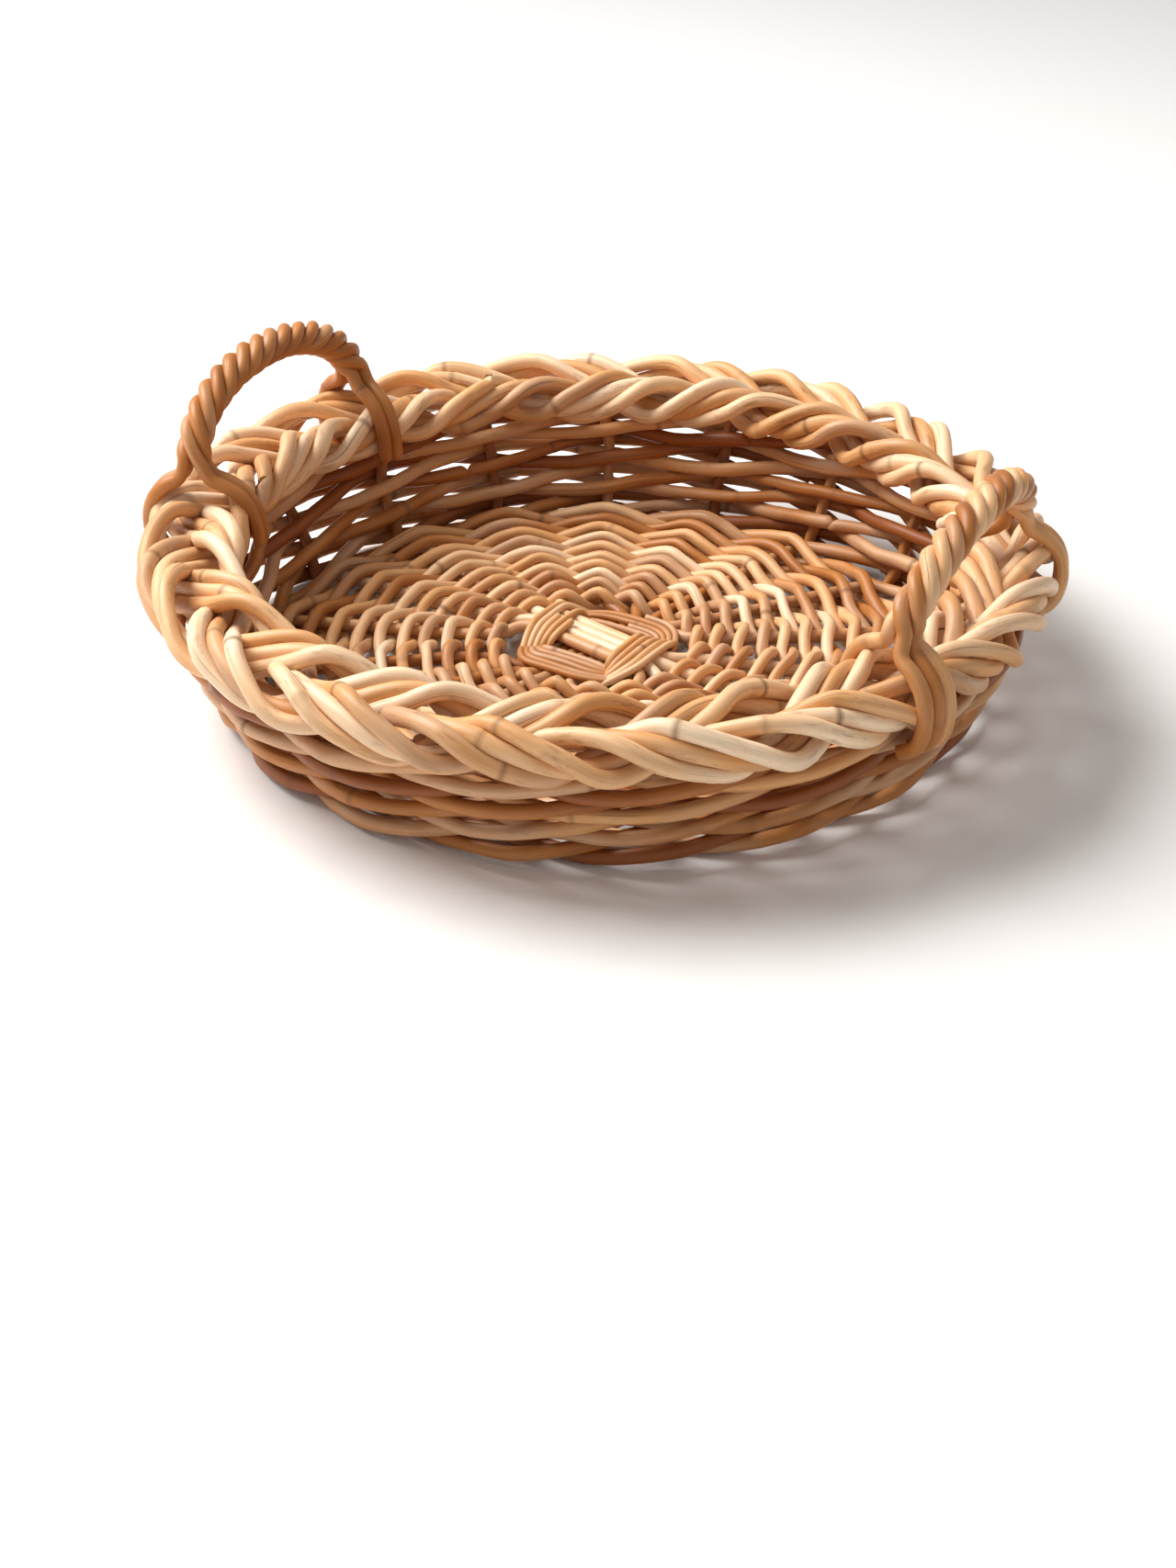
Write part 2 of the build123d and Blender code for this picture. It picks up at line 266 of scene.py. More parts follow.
stick = 5.2 * MM  # the measured stick
stick_air = 0.25 * MM
weavers = [(high - low) / 2 - stick / 2 - stick_air for _, low, high in base_rings]
row_radii = [ring[0] - weaver for ring, weaver in zip(base_rings, weavers)]
row_heights = [(low + high) / 2 for _, low, high in base_rings]
FAN_START = row_radii[0] - 14.4 * MM  # where the sticks begin to spread
FAN_END = row_radii[0] - 3.9 * MM  # where they are evenly spread
BEATEN_IN = (4.0, 2.6, 1.3)  # the first rows are pushed this many mm in, against the binding
for row, closer in enumerate(BEATEN_IN):
    row_radii[row] -= closer * MM


def base_height(radius):
    """Height of the middle of the weave, which rises towards the centre."""
    slope = (row_heights[0] - row_heights[-1]) / (row_radii[-1] - row_radii[0])
    return row_heights[-1] + slope * (row_radii[-1] - radius)


def stick_line(axis, place, level):
    """A stick: side by side with its group in the middle, and spread like the ribs of a fan outside."""
    side = place * (stick + stick_air)
    along = np.array([cos(radians(axis)), sin(radians(axis)), 0])
    over = np.array([-along[1], along[0], 0])
    half = []
    for radius in (row_radii[-1] + 4 * MM, row_radii[6], FAN_END):
        half.append(on_circle(radius, axis + place * ARM_STEP, base_height(radius)))
    half.append(along * FAN_START + over * side + [0, 0, base_height(0) + level])
    half.append(along * FAN_START * 0.45 + over * side + [0, 0, base_height(0) + level + 0.4 * MM])
    other = [p - 2 * along * (p @ along) for p in half[::-1]]
    return rounded(half + other)


UPPER_TONES = (0.06, 0.02, 0.04, 0.42)  # the patch is pale, but one of its sticks is not
stick_groups = (("upper", UPPER_STICKS, GROUP_AXIS, 1), ("lower", LOWER_STICKS, GROUP_AXIS - 90, -1))
for group, count, axis, level in stick_groups:
    for index in range(count):
        line = stick_line(axis, index - (count - 1) / 2, level * (stick + stick_air) / 2)
        tone = UPPER_TONES[index] if group == "upper" else 0.45 + 0.1 * index
        canes = [cane(line, stick * 1.06, 100 + 10 * index + level, tone=tone, taper=0.03)]
        piece(f"cane_base_stick_{group}_{index + 1}", f"base_stick_{group}_{index + 1}", "base_sticks", canes)
print("base sticks", UPPER_STICKS + LOWER_STICKS)

# %% [markdown]
# ## The binding of the cross
# Thin canes go square round the cross, over one bundle and under the next, five times in all. On top of
# every bundle they lie side by side like the strings of a parcel.

# %% Base ties
TIE_TURNS = (2, 3)
tie_cane = 3.05 * MM
tie_pitch = 3.75 * MM
first_tie = 15.3 * MM
TIE_OVERHANG = 6.2 * MM  # a tie turns its corner this far past the last stick's middle
tie_slant = 2.1 * MM  # each side of the binding starts this far out and ends this far in


def tie_line(distance, side, turns):
    """Corners of one cane that goes round the cross several times and works its way outwards."""
    chance = np.random.default_rng(int(distance / MM * 10) + side)
    corners = []
    for quarter in range(4 * turns):
        over_upper = quarter % 2 == 0
        count = UPPER_STICKS if over_upper else LOWER_STICKS
        level = (stick + stick_air) / 2 * (1 if over_upper else -1)
        half = (count - 1) / 2 * (stick + stick_air) + TIE_OVERHANG
        turn = (1 if over_upper else -1) * side
        height = base_height(0) + level + turn * (stick / 2 + tie_cane * 0.55)
        out = distance + tie_pitch * quarter / 4
        axis = radians(GROUP_AXIS + 90 * quarter)
        along = np.array([cos(axis), sin(axis), 0])
        over = np.array([-along[1], along[0], 0])
        for end in (-1, 0, 1):
            dip = 0.0 if end == 0 else 0.6 * MM
            place = out - end * (tie_slant + turn * 0.5 * MM) + 0.35 * MM * chance.standard_normal()
            corners.append(along * place + over * end * half + [0, 0, height - turn * dip])
    return rounded(corners[1:-1], 3)


start = first_tie
for number, turns in enumerate(TIE_TURNS, 1):
    canes = [cane(tie_line(start, side, turns), tie_cane, 200 + 10 * number + side, taper=0.05, sides=10)
             for side in (1, -1)]
    piece(f"cane_base_tie_{number}", f"base_tie_{number}", "base_weave", canes)
    start += turns * tie_pitch
print("turns round the cross", sum(TIE_TURNS))

# %% [markdown]
# ## The weave of the base
# Two weavers go round together. Where one passes over an arm, the other passes under it, and they change
# places before the next arm. Seen along the row, each one is a cosine wave, and seen from above a small
# sine wave, so the two formulas together are a long twist of two canes. Rows near the middle are
# fine and close, and the outermost are thick and loose.

# %% Base rows
POINTS_PER_ARM = 22
STIFF_OVER = 0.88  # how sharply a weaver bends over and under
STIFF_ASIDE = 0.75  # how sharply it bends in and out
WORN_FLAT = 0.57  # no weaver's middle lies lower than this share of its thickness


def bent(wave, stiffness):
    """The same wave with straighter flanks and sharper tips, as stiff cane takes it."""
    return np.arcsin(stiffness * wave) / np.arcsin(stiffness)


def weaver_line(row, side, seed):
    chance = np.random.default_rng(seed)
    start = 2 * ((5 * row) % (ARMS // 2)) + (1 if side > 0 else 0)  # both ends hide under an arm
    arm = np.linspace(start + 0.04, start + ARMS - 0.04, ARMS * POINTS_PER_ARM)
    travel = np.radians(arm * ARM_STEP) * row_radii[row]
    thickness = weaver_thickness[row]
    lift = (stick + thickness) / 2 * (1 + 0.07 * drift(chance, travel, 45 * MM))
    sway = max(0.34 * thickness, (row_pitch[row] - thickness) / 2)
    height = row_heights[row] + lift * bent(side * np.cos(pi * arm), STIFF_OVER)
    chord = cos(radians(ARM_STEP / 2)) / np.cos(np.radians((arm % 1 - 0.5) * ARM_STEP))
    radius = row_radii[row] * (0.3 + 0.7 * chord) + sway * bent(side * np.sin(pi * arm), STIFF_ASIDE)
    radius += 0.8 * MM * drift(chance, travel, 60 * MM)
    return on_circle(radius, arm * ARM_STEP, np.maximum(height, thickness * WORN_FLAT))


row_pitch = np.gradient(row_radii)
weaver_thickness = [0.42 * pitch + 0.9 * MM for pitch in row_pitch]
for row in range(BASE_ROWS):
    canes = [cane(weaver_line(row, side, 300 + 4 * row + side), weaver_thickness[row], 350 + 4 * row + side)
             for side in (1, -1)]
    piece(f"cane_base_row_{row + 1:02d}", f"base_row_{row + 1:02d}", "base_weave", canes)
print("base rows", BASE_ROWS, "from", round(weaver_thickness[0], 4), "to", round(weaver_thickness[-1], 4))

# %% [markdown]
# ## The side
# Eighteen stakes lean outwards from the edge of the base into the border. Three canes at a time are
# twisted round them, each one passing outside two stakes and inside the third. As with the base, a wave
# in height and a wave in distance from the middle, a quarter turn apart, make the twist.

# %% Stakes and wales
SIDE_LEAN = tan(radians(24))
stake_reach, stake_low, stake_high = ring_of("side_stakes")
stake_thickness = 5.4 * MM
top_radius = stake_reach - 2.4 * MM
wale_thickness = 6.3 * MM
wale_swing = 9.3 * MM
wale_shift = 2.35 * MM
wale_lift = 3.5 * MM
WALE_FLAT = 0.58  # the lowest row's middle stays this share of its thickness above the floor


def stake_radius(height):
    return top_radius - (stake_high - height) * SIDE_LEAN


stakes = []
for arm in range(ARMS):
    chance = np.random.default_rng(500 + arm)
    heights = np.linspace(stake_low, stake_high + 3 * MM, 24)
    sway = 0.5 * drift(chance, heights, 50 * MM)
    line = on_circle(stake_radius(heights), arm * ARM_STEP + sway, heights)
    stakes.append(cane(line, stake_thickness, 520 + arm, taper=0.02))
piece("cane_side_stakes", "side_stakes", "side_stakes", stakes)


def wale_line(row, rod, seed):
    chance = np.random.default_rng(seed)
    _, low, high = ring_of(*wale_names[row])
    start = (12 * rod + 7 * row) % ARMS * ARM_STEP / 2 + 6
    azimuth = np.linspace(start, start + 359, WAVES * 60)
    travel = np.radians(azimuth) * top_radius
    phase = np.radians(WAVES * azimuth) + 2 * pi * rod / 3 + pi / 3
    height = (low + high) / 2 + wale_lift * np.sin(phase) + 0.7 * MM * drift(chance, travel, 120 * MM)
    radius = stake_radius(height) + wale_shift + wale_swing * np.cos(phase)
    radius += 0.5 * MM * drift(chance, travel, 80 * MM)
    return on_circle(radius, azimuth, np.maximum(height, wale_thickness * WALE_FLAT))


for row, names in enumerate(wale_names):
    for rod, node in enumerate(names):
        seed = 600 + 10 * row + rod
        canes = [cane(wale_line(row, rod, seed), wale_thickness, seed + 50, taper=0.16, cuts=(0.8, -0.8))]
        piece(f"cane_{node}", node, "side_weave", canes)
print("stakes", ARMS, "and side canes", WALE_ROWS * 3)

# %% [markdown]
# ## The border
# The stakes of a real basket are turned down and plaited into a thick rim. Three strands of three canes
# each follow a figure of eight that travels round the rim: out and in once while they go up and down
# twice. Within a strand the canes lie side by side like a ribbon, and the ribbon stays square to its own
# direction, so it rolls over the edges of the rim instead of being sheared.

# %% Plaited border
border_cane = 7.35 * MM
plait_width = 16.2 * MM
plait_depth = 6.2 * MM
ribbon_spacing = 7.2 * MM
border_radius = border_reach - 19.8 * MM
border_height = (border_low + border_high) / 2 - 0.4 * MM
plait_start = radians(-24)


def plait_line(strand, place, seed):
    chance = np.random.default_rng(seed)
    start = (4 * strand + 1.4 * place) * ARM_STEP + 9
    azimuth = np.linspace(start, start + 359.2, WAVES * 90)
    turns = np.radians(azimuth)
    travel = turns * border_radius
    phase = WAVES * turns + 2 * pi * strand / STRANDS - pi / 2 + plait_start
    strand_chance = np.random.default_rng(40 + strand)
    phase = phase + 0.12 * drift(strand_chance, travel, 260 * MM)
    wider = 1 + 0.04 * drift(strand_chance, travel, 180 * MM)
    wander = 0.6 * MM * drift(strand_chance, travel, 150 * MM)
    radius = border_radius + plait_width * wider * np.sin(phase) + wander
    wander = 0.4 * MM * drift(strand_chance, travel, 120 * MM)
    height = border_height + plait_depth * np.sin(2 * phase) + wander
    middle = on_circle(radius, azimuth, height)
    forward = unit(np.gradient(middle, axis=0))
    section = on_circle(np.cos(phase) * plait_width, azimuth, 2 * np.cos(2 * phase) * plait_depth)
    ribbon = unit(section - forward * np.sum(section * forward, axis=1)[:, None])
    normal = np.cross(forward, ribbon)
    spacing = place * ribbon_spacing * (1 + 0.03 * drift(chance, travel, 90 * MM))
    bulge = 0.35 * MM * drift(chance, travel, 110 * MM)
    return middle + ribbon * spacing[:, None] + normal * bulge[:, None]


for strand in range(STRANDS):
    for rod in range(RODS):
        seed = 700 + 10 * strand + rod
        line = plait_line(strand, rod - (RODS - 1) / 2, seed)
        canes = [cane(line, border_cane, seed + 40, sides=14, taper=0.06, cuts=(1.2, -1.2))]
        node = f"border_strand_{strand + 1}_rod_{rod + 1}"
        piece(f"cane_{node}", node, "border_plait", canes)
print("border canes", STRANDS * RODS, "at", round(border_radius, 4), "and height", round(border_height, 4))

# %% [markdown]
# ## The handles
# Four canes are laid up as a rope over an arch. Each turns steadily about the arch's own line, a quarter
# turn behind its neighbour. At the feet the rope opens: some canes run down the outside of the border
# and curl under it, and the others cross the crest and end against the inner wall.

# %% Rope handles
handle_boxes = [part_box(f"right_handle_rod_{n}") for n in range(1, HANDLE_RODS + 1)]
handle_top = max(high.z for low, high in handle_boxes)
rope_cane = 6.3 * MM
rope_radius = 4.75 * MM
half_span = 63 * MM
foot_radius = border_radius + 2.2 * MM
handle_distance = (foot_radius**2 - half_span**2) ** 0.5
foot_height = border_high + 7.6 * MM
handle_rise = handle_top - foot_height - rope_radius - rope_cane / 2 + 0.8 * MM
rope_turns = 3.75
rope_start = radians(75)
arch_lean = 7 * MM  # the top of the arch leans out this far
HANDLE_AZIMUTH = 3.5  # both handles are turned this far round the rim
TAIL_REACH = 20.3 * MM  # a tail passes this far beside the middle of the border
foot_azimuth = np.degrees(np.arcsin(half_span / foot_radius))
OUTER_TAIL = ((0.30, 0.14), (0.64, 0.26), (0.96, 0.62), (1.06, 1.14), (0.92, 1.74), (0.45, 2.0))
INNER_TAIL = ((0.26, 0.13), (0.51, 0.21), (0.82, 0.45), (1.03, 0.95), (1.06, 1.52))


def tail_line(side, outward, beside):
    """The free end of a handle cane, from the foot of the rope to its tip."""
    way_out = (TAIL_REACH + rope_cane / 2) * (1 if outward else -1) + border_radius - foot_radius
    way_down = foot_height - border_height
    turn = radians(side * foot_azimuth)
    along = np.array([-sin(turn), cos(turn), 0])
    corners = []
    for share_out, share_down in OUTER_TAIL if outward else INNER_TAIL:
        out, height = foot_radius + share_out * way_out, foot_height - share_down * way_down
        place = on_circle(out, side * foot_azimuth, height)
        corners.append(place + along * beside)
    return corners


def handle_line(rod, outside):
    """One cane of a handle, from tip to tip, with this many canes outside the border at each foot."""
    turn = np.linspace(0, pi, 400)
    centre = np.stack([handle_distance + arch_lean * np.sin(turn), -half_span * np.cos(turn),
                       foot_height + handle_rise * np.sin(turn)], -1)
    run = np.concatenate([[0], np.cumsum(np.linalg.norm(np.diff(centre, axis=0), axis=1))])
    share = np.linspace(0.03, 0.97, 110)
    turn = np.interp(share * run[-1], run, turn)
    centre = np.stack([np.interp(share * run[-1], run, centre[:, axis]) for axis in range(3)], -1)
    lay = rope_start + pi / 2 * rod - 2 * pi * rope_turns * share
    zero = 0 * turn
    normal = unit(np.stack([zero, -handle_rise * np.cos(turn), half_span * np.sin(turn)], -1))
    rope = centre + rope_radius * (normal * np.cos(lay)[:, None] + np.sin(lay)[:, None] * [1, 0, 0])
    tails = []
    for side, end, count in ((-1, 0, outside[0]), (1, -1, outside[1])):
        lays = lay[end] + pi / 2 * (np.arange(HANDLE_RODS) - rod)
        order = np.argsort(-np.sin(lays))  # the outermost cane first
        outward = rod in order[:count]
        group = order[:count] if outward else order[count:]
        rank = sorted(group, key=lambda other: cos(lays[other])).index(rod) - (len(group) - 1) / 2
        tails.append(tail_line(side, outward, rope_cane * rank * side))
    return rounded(tails[0][::-1] + list(rope) + tails[1], 3)


OUTSIDE = {"right": (3, 2), "left": (2, 2)}  # canes that run down outside the border, at each foot
for name, mirror in (("right", 1), ("left", -1)):
    turned = radians(HANDLE_AZIMUTH)
    outward = np.array([cos(turned), sin(turned), 0]) * mirror
    sideways = np.array([-sin(turned), cos(turned), 0]) * mirror
    for rod in range(HANDLE_RODS):
        line = handle_line(rod, OUTSIDE[name]) @ np.array([outward, sideways, [0, 0, 1]])
        seed = 900 + 20 * rod + mirror
        node = f"{name}_handle_rod_{rod + 1}"
        canes = [cane(line, rope_cane, seed, sides=14, taper=0.05, cuts=(0.6, 0.6), knuckles=120 * MM)]
        piece(f"cane_{node}", node, "handle_rope", canes)
print("handle canes", 2 * HANDLE_RODS, "rising", round(handle_rise, 4))

# %% [markdown]
# ## The finish of peeled cane
# Peeled cane has a satin skin over straight fibres. Its colour changes from cane to cane, from cream
# through honey to a brown that is nearly orange, with some pinkish grey between. Each of these effects
# is a small group of nodes that every material uses with its own values.

# %% Helpers for node groups
def new_group(name, inputs, outputs):
    """An empty shader node group with named sockets, its input node and its output node."""
    group = bpy.data.node_groups.new(name, "ShaderNodeTree")
    for label, kind, value in inputs:
        socket = group.interface.new_socket(name=label, in_out="INPUT", socket_type="NodeSocket" + kind)
        if value is not None:
            socket.default_value = value
    for label, kind in outputs:
        group.interface.new_socket(name=label, in_out="OUTPUT", socket_type="NodeSocket" + kind)
    return group, group.nodes.new("NodeGroupInput"), group.nodes.new("NodeGroupOutput")


def add(tree, kind, links=None, **settings):
    """One node, with its settings made and its inputs either set or linked."""
    node = tree.nodes.new("ShaderNode" + kind)
    for key, value in settings.items():
        setattr(node, key, value)
    for key, value in (links or {}).items():
        if isinstance(value, bpy.types.NodeSocket):
            tree.links.new(value, node.inputs[key])
        else:
            node.inputs[key].default_value = value
    return node


def maths(tree, operation, first, second=0.0, clamp=False):
    return add(tree, "Math", {0: first, 1: second}, operation=operation, use_clamp=clamp).outputs[0]


def stretched(tree, place, across, along):
    """The place on the straightened cane, scaled more across the cane than along it."""
    return add(tree, "VectorMath", {0: place, 1: (across, across, along)}, operation="MULTIPLY").outputs[0]


print("node helpers ready")

# %% Group: the colour of a cane
CANE_COLOURS = (
    (0.00, (0.95, 0.715, 0.490)),
    (0.22, (0.84, 0.525, 0.285)),
    (0.42, (0.70, 0.345, 0.125)),
    (0.58, (0.62, 0.360, 0.200)),
    (0.76, (0.50, 0.190, 0.042)),
    (1.00, (0.29, 0.080, 0.014)),
)
tint, tint_in, tint_out = new_group(
    "cane_tint",
    [("Place", "Vector", None), ("Tone", "Float", 0.5), ("Shift", "Float", 0.0), ("Mottle", "Float", 0.12)],
    [("Color", "Color")],
)
cloud_place = stretched(tint, tint_in.outputs["Place"], 90, 22)
cloud = add(tint, "TexNoise", {"Vector": cloud_place, "Scale": 1.0, "Detail": 3.0, "Roughness": 0.55})
swing = maths(tint, "MULTIPLY", maths(tint, "SUBTRACT", cloud.outputs["Fac"], 0.5), tint_in.outputs["Mottle"])
swing = maths(tint, "MULTIPLY", swing, 4.0)
tone = maths(tint, "ADD", maths(tint, "ADD", tint_in.outputs["Tone"], tint_in.outputs["Shift"]), swing, True)
ramp = add(tint, "ValToRGB", {"Fac": tone})
while len(ramp.color_ramp.elements) < len(CANE_COLOURS):
    ramp.color_ramp.elements.new(0.5)
for element, (place, colour) in zip(ramp.color_ramp.elements, CANE_COLOURS):
    element.position = place
    element.color = (*colour, 1)
tint.links.new(ramp.outputs["Color"], tint_out.inputs["Color"])
print("cane colours", len(CANE_COLOURS))

# %% Group: fibres along the cane
fibres, fibres_in, fibres_out = new_group(
    "cane_fibres",
    [("Place", "Vector", None), ("Fineness", "Float", 1.0)],
    [("Shade", "Float"), ("Height", "Float")],
)
fine_place = add(fibres, "VectorMath", {0: stretched(fibres, fibres_in.outputs["Place"], 1500, 34),
                                        "Scale": fibres_in.outputs["Fineness"]}, operation="SCALE").outputs[0]
fine = add(fibres, "TexNoise", {"Vector": fine_place, "Scale": 1.0, "Detail": 4.0, "Roughness": 0.6})
broad_place = stretched(fibres, fibres_in.outputs["Place"], 420, 9)
broad = add(fibres, "TexNoise", {"Vector": broad_place, "Scale": 1.0, "Detail": 2.0})
shade = maths(fibres, "ADD", maths(fibres, "MULTIPLY", fine.outputs["Fac"], 0.6),
              maths(fibres, "MULTIPLY", broad.outputs["Fac"], 0.4))
fibres.links.new(shade, fibres_out.inputs["Shade"])
fibres.links.new(shade, fibres_out.inputs["Height"])

# %% Group: stains, pores and the dark rings of the knuckles
marks, marks_in, marks_out = new_group(
    "cane_marks",
    [("Place", "Vector", None), ("Knuckle", "Float", 0.0), ("Stains", "Float", 0.5)],
    [("Mask", "Float"), ("Height", "Float")],
)
blotch_place = stretched(marks, marks_in.outputs["Place"], 260, 70)
blotch = add(marks, "TexNoise", {"Vector": blotch_place, "Scale": 1.0, "Detail": 5.0, "Roughness": 0.65})
stain = add(marks, "MapRange", {"Value": blotch.outputs["Fac"], "From Min": 0.56, "From Max": 0.74})
speck_place = stretched(marks, marks_in.outputs["Place"], 2100, 420)
speck = add(marks, "TexNoise", {"Vector": speck_place, "Scale": 1.0, "Detail": 2.0})
pore = add(marks, "MapRange", {"Value": speck.outputs["Fac"], "From Min": 0.68, "From Max": 0.76})
crack_place = stretched(marks, marks_in.outputs["Place"], 900, 14)
crack = add(marks, "TexNoise", {"Vector": crack_place, "Scale": 1.0, "Detail": 1.0})
line = add(marks, "MapRange", {"Value": crack.outputs["Fac"], "From Min": 0.70, "From Max": 0.74})
soft = maths(marks, "MULTIPLY", stain.outputs[0], marks_in.outputs["Stains"])
dots = maths(marks, "MULTIPLY", pore.outputs[0], 0.55)
dark = maths(marks, "MAXIMUM", soft, dots)
dark = maths(marks, "MAXIMUM", dark, maths(marks, "MULTIPLY", line.outputs[0], 0.6))
rings = maths(marks, "MULTIPLY", marks_in.outputs["Knuckle"], 0.8)
marks.links.new(maths(marks, "MAXIMUM", dark, rings, True), marks_out.inputs["Mask"])
sunk = maths(marks, "MAXIMUM", maths(marks, "MAXIMUM", dots, line.outputs[0]), marks_in.outputs["Knuckle"])
marks.links.new(maths(marks, "SUBTRACT", 1.0, sunk), marks_out.inputs["Height"])
print("groups", tint.name, fibres.name, marks.name)

# %% [markdown]
# Each part of the basket gets its own tone: the border is a little lighter, the base and the handles are
# warm, and the side is darker, with its stakes darker still. The side's darker tone is painted shade, for
# side walls that stand in shade. So each gets its own material from the same three groups.

# %% Materials
def cane_material(name, shift, mottle, stains, roughness, fineness=1.0, bump=0.35):
    material = bpy.data.materials.new(name)
    material.use_nodes = True
    tree = material.node_tree
    shader = tree.nodes["Principled BSDF"]
    place = add(tree, "Attribute", attribute_name="cane_place").outputs["Vector"]
    tone = add(tree, "Attribute", attribute_name="cane_tone").outputs["Fac"]
    knuckle = add(tree, "Attribute", attribute_name="cane_knuckle").outputs["Fac"]
    colour = add(tree, "Group", node_tree=tint)
    fibre = add(tree, "Group", node_tree=fibres)
    mark = add(tree, "Group", node_tree=marks)
    for node in (colour, fibre, mark):
        tree.links.new(place, node.inputs["Place"])
    tree.links.new(tone, colour.inputs["Tone"])
    tree.links.new(knuckle, mark.inputs["Knuckle"])
    colour.inputs["Shift"].default_value = shift
    colour.inputs["Mottle"].default_value = mottle
    fibre.inputs["Fineness"].default_value = fineness
    mark.inputs["Stains"].default_value = stains

    darker = add(tree, "MapRange", {"Value": fibre.outputs["Shade"], "From Min": 0.3, "From Max": 0.7,
                                    "To Min": 0.80, "To Max": 1.10}).outputs[0]
    grained = add(tree, "VectorMath", {0: colour.outputs["Color"], "Scale": darker}, operation="SCALE")
    stained = add(tree, "Mix", {"Factor": mark.outputs["Mask"]}, data_type="RGBA")
    tree.links.new(grained.outputs[0], stained.inputs[6])
    stained.inputs[7].default_value = (0.19, 0.085, 0.032, 1)
    tree.links.new(stained.outputs[2], shader.inputs["Base Color"])
    rough = add(tree, "MapRange", {"Value": fibre.outputs["Shade"], "From Min": 0.3, "From Max": 0.7,
                                   "To Min": roughness - 0.07, "To Max": roughness + 0.08})
    tree.links.new(maths(tree, "ADD", rough.outputs[0], maths(tree, "MULTIPLY", mark.outputs["Mask"], 0.2)),
                   shader.inputs["Roughness"])
    relief = maths(tree, "ADD", maths(tree, "MULTIPLY", fibre.outputs["Height"], 0.5), mark.outputs["Height"])
    bumped = add(tree, "Bump", {"Height": relief, "Strength": bump, "Distance": 0.25 * MM})
    tree.links.new(bumped.outputs["Normal"], shader.inputs["Normal"])
    shader.inputs["Specular IOR Level"].default_value = 0.42
    return material


def pith_material():
    """The cut ends: dry, pale and full of tiny holes."""
    material = bpy.data.materials.new("cane_pith")
    material.use_nodes = True
    tree = material.node_tree
    shader = tree.nodes["Principled BSDF"]
    place = add(tree, "TexCoord").outputs["Object"]
    holes = add(tree, "TexVoronoi", {"Vector": place, "Scale": 2600.0})
    pale = add(tree, "ValToRGB", {"Fac": holes.outputs["Distance"]})
    pale.color_ramp.elements[0].color = (0.20, 0.11, 0.05, 1)
    pale.color_ramp.elements[1].color = (0.66, 0.47, 0.28, 1)
    pale.color_ramp.elements[1].position = 0.35
    tree.links.new(pale.outputs["Color"], shader.inputs["Base Color"])
    shader.inputs["Roughness"].default_value = 0.8
    return material


FINISHES = {
    "base_sticks": cane_material("cane_sticks_polished", 0.06, 0.05, 0.25, 0.40),
    "base_weave": cane_material("cane_base", 0.08, 0.12, 0.25, 0.44),
    # the side and its stakes get a darker tone: painted shade for the side walls, which stand in shade
    "side_stakes": cane_material("cane_stakes", 0.50, 0.08, 0.35, 0.52),
    "side_weave": cane_material("cane_side", 0.38, 0.12, 0.35, 0.46),
    "border_plait": cane_material("cane_border", -0.08, 0.13, 0.60, 0.44),
    "handle_rope": cane_material("cane_handles", 0.12, 0.12, 0.40, 0.42),
}
pith = pith_material()
for made, slot in made_pieces:
    made.data.materials.append(FINISHES[slot])
    made.data.materials.append(pith)
print("materials", len(FINISHES) + 1, "on", len(made_pieces), "pieces")
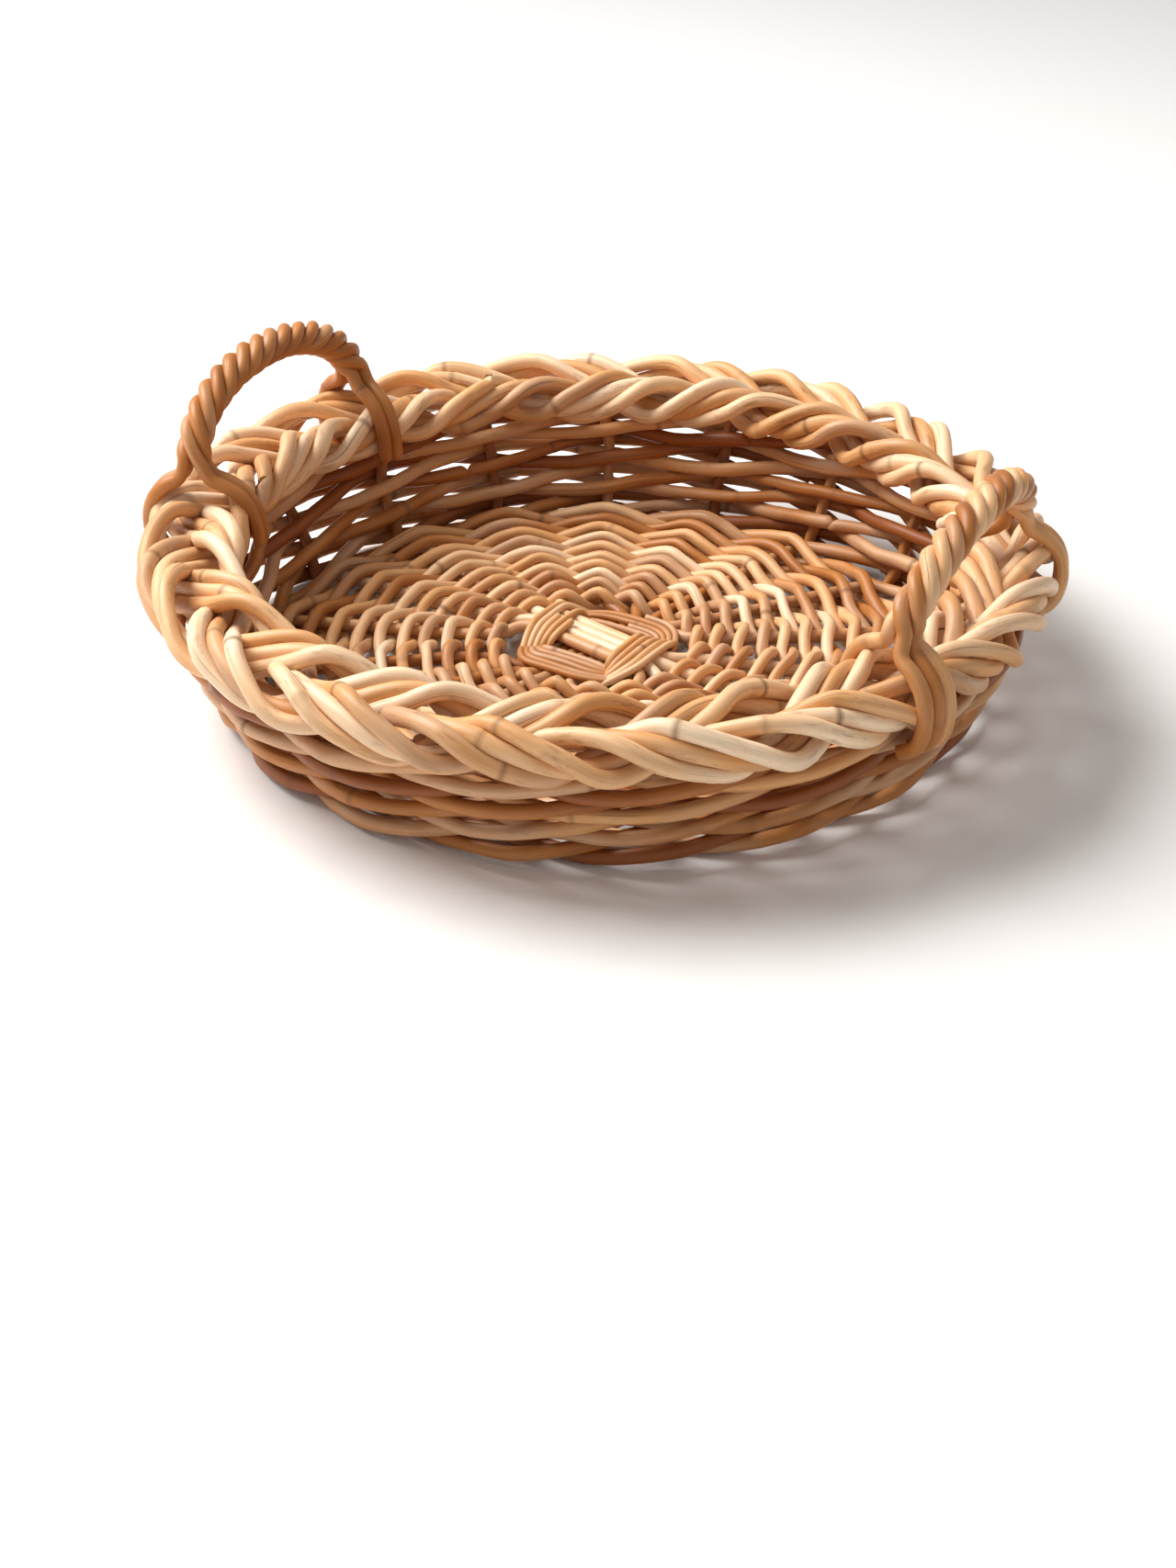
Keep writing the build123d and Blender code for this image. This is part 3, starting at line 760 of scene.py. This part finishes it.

# %% [markdown]
# ## Floor, light and camera
# The basket stands on a seamless white floor. One large soft light stands behind it on the left, like a
# window, and a pale sky fills the shadows, so the inside of the near-left wall is deep brown, from its shade
# and from the painted shade of the side's darker tone, and the rim and the base are bright.

# %% Floor
FLOOR_SIZE = 9.0
FLOOR_AWAY = (-0.53, 0.85, 0)  # the way in which the floor is painted darker, as painted shade towards the back
floor_mesh = bpy.data.meshes.new("floor")
floor_corners = [(x * FLOOR_SIZE, y * FLOOR_SIZE, 0) for x, y in ((-1, -1), (1, -1), (1, 1), (-1, 1))]
floor_mesh.from_pydata(floor_corners, [], [(0, 1, 2, 3)])
floor = bpy.data.objects.new("floor", floor_mesh)
bpy.context.scene.collection.objects.link(floor)
paper = bpy.data.materials.new("floor_paper")
paper.use_nodes = True
floor_place = add(paper.node_tree, "TexCoord").outputs["Object"]
# painted shade: the floor's colour is made greyer towards the back, where the light falls off
far = add(paper.node_tree, "VectorMath", {0: floor_place, 1: FLOOR_AWAY}, operation="DOT_PRODUCT")
painted_shade_fade = add(paper.node_tree, "MapRange", {"Value": far.outputs["Value"], "From Min": 0.2, "From Max": 1.6,
                                           "To Min": 0.0, "To Max": 1.0}, interpolation_type="SMOOTHSTEP")
painted_shade_ramp = add(paper.node_tree, "ValToRGB", {"Fac": painted_shade_fade.outputs[0]})
painted_shade_ramp.color_ramp.elements[0].color = (0.87, 0.865, 0.86, 1)
painted_shade_ramp.color_ramp.elements[1].color = (0.60, 0.598, 0.605, 1)
paper_shader = paper.node_tree.nodes["Principled BSDF"]
paper.node_tree.links.new(painted_shade_ramp.outputs["Color"], paper_shader.inputs["Base Color"])
paper_shader.inputs["Roughness"].default_value = 0.7
floor_mesh.materials.append(paper)
print("floor", 2 * FLOOR_SIZE, "m wide")

# %% Light
world = bpy.data.worlds.new("soft_room")
bpy.context.scene.world = world
world.use_nodes = True
sky = world.node_tree.nodes["Background"]
sky.inputs["Color"].default_value = (1.0, 0.965, 0.93, 1)
sky.inputs["Strength"].default_value = 0.44


def soft_light(name, azimuth, elevation, distance, size, power, colour):
    """A square soft light that looks at the basket from a direction given in degrees."""
    turn, lift = radians(azimuth), radians(elevation)
    direction = Vector((cos(turn) * cos(lift), sin(turn) * cos(lift), sin(lift)))
    data = bpy.data.lights.new(name, "AREA")
    data.size = size
    data.energy = power
    data.color = colour
    light = bpy.data.objects.new(name, data)
    light.location = direction * distance
    light.rotation_mode = "QUATERNION"
    light.rotation_quaternion = direction.to_track_quat("Z", "Y")
    bpy.context.scene.collection.objects.link(light)
    return light


soft_light("window", 186, 50, 2.2, 1.6, 84, (1.0, 0.985, 0.96))

# %% Camera
camera_data = bpy.data.cameras.new("camera")
camera = bpy.data.objects.new("camera", camera_data)
bpy.context.scene.collection.objects.link(camera)
camera_data.lens = 58.52
camera_data.sensor_width = 36
camera.location = (0.5234, -0.8509, 0.5374)
looking = Vector((-0.4523, 0.7294, -0.5133)).normalized()
camera.rotation_mode = "QUATERNION"
camera.rotation_quaternion = Quaternion(looking, -0.005) @ looking.to_track_quat("-Z", "Y")
camera_data.dof.use_dof = False
bpy.context.scene.camera = camera
bpy.context.scene.view_settings.view_transform = "Standard"
print("camera at", [round(value, 3) for value in camera.location])
